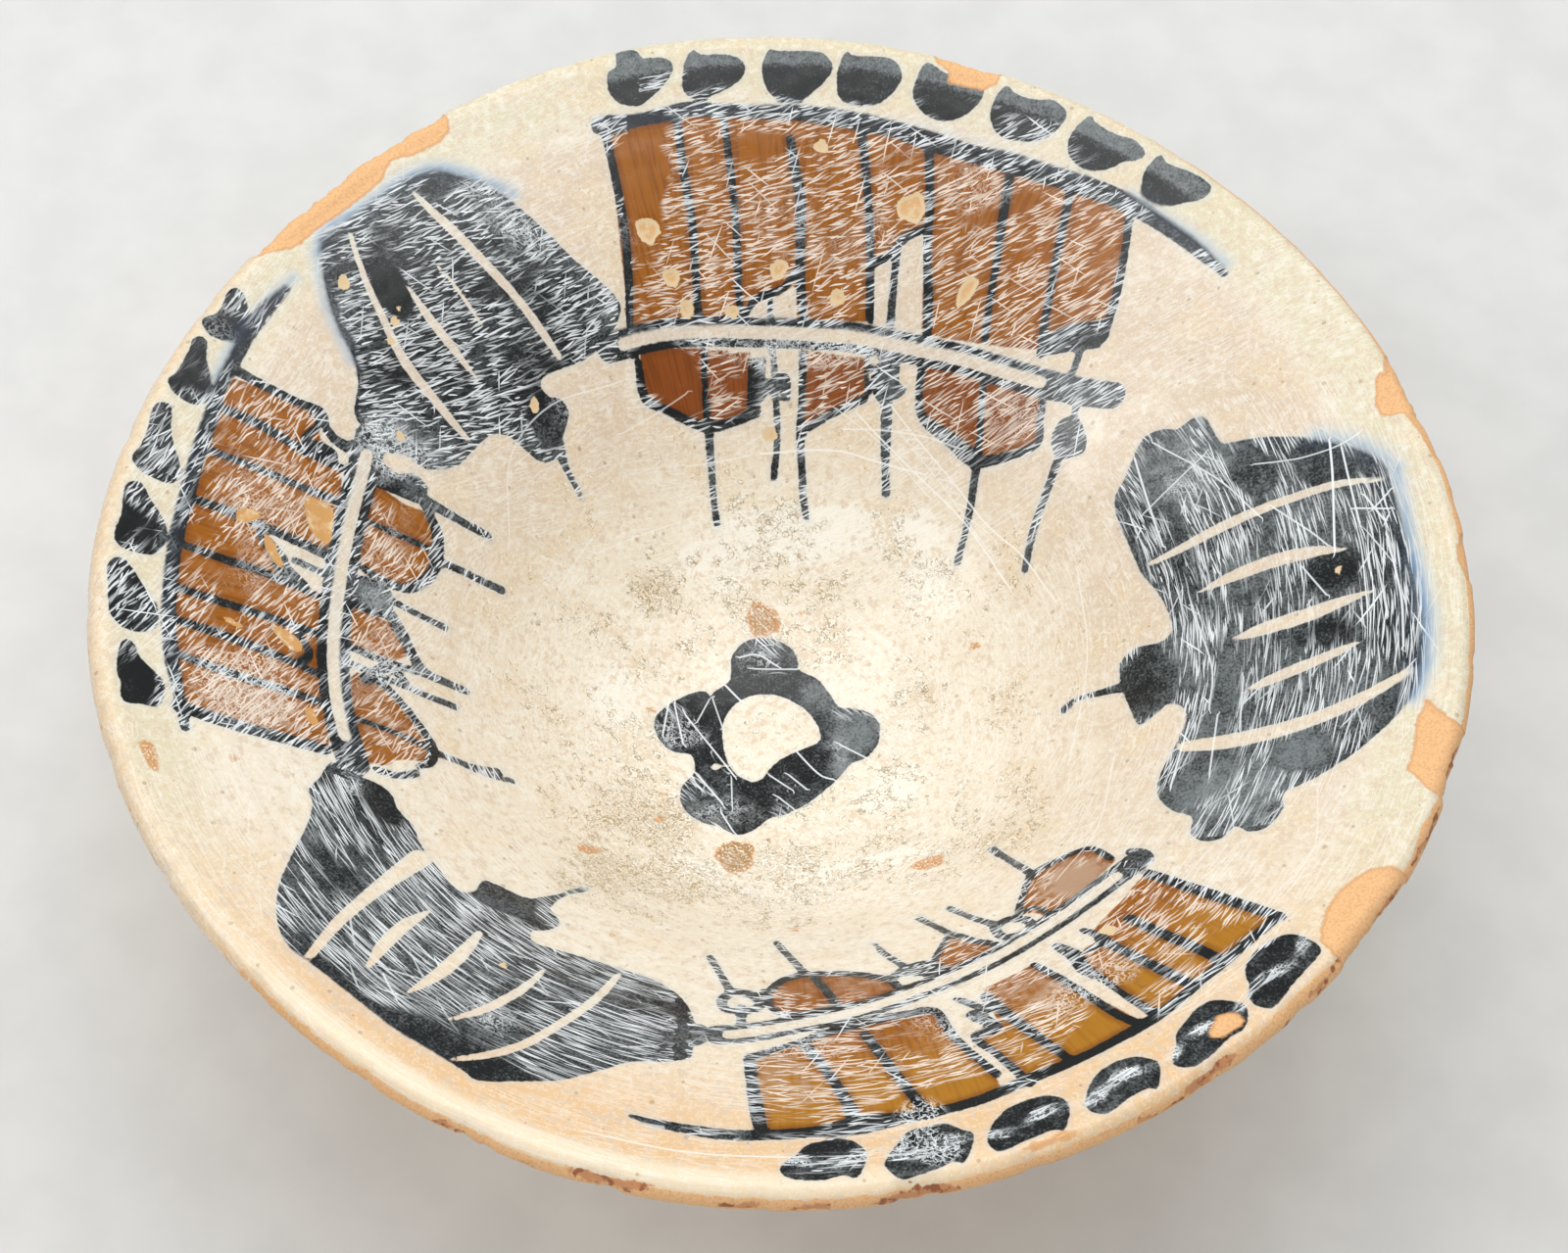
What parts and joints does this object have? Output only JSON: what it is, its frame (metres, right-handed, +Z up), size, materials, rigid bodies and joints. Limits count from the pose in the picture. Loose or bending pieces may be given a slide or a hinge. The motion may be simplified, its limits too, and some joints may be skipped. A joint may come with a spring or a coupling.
{
  "type": "pottery bowl",
  "caption": "Wide everted earthenware bowl with a rounded lip and a low foot ring, its inside painted in black and amber under a clear glaze.",
  "frame": {"origin": "on the bowl's axis, in the plane that the foot ring stands on", "axes": "+Z up along the bowl's axis out of its mouth; +Y to the painted panel at the top of the picture; +X to its right"},
  "size_m": [0.2615, 0.2614, 0.0806],
  "materials": {
    "glazed_earthenware": "cream slip painted in black and amber under a clear glaze, worn to bare clay along the lip"
  },
  "bodies": {
    "root": {"bowl": "glazed_earthenware"}
  },
  "joints": []
}
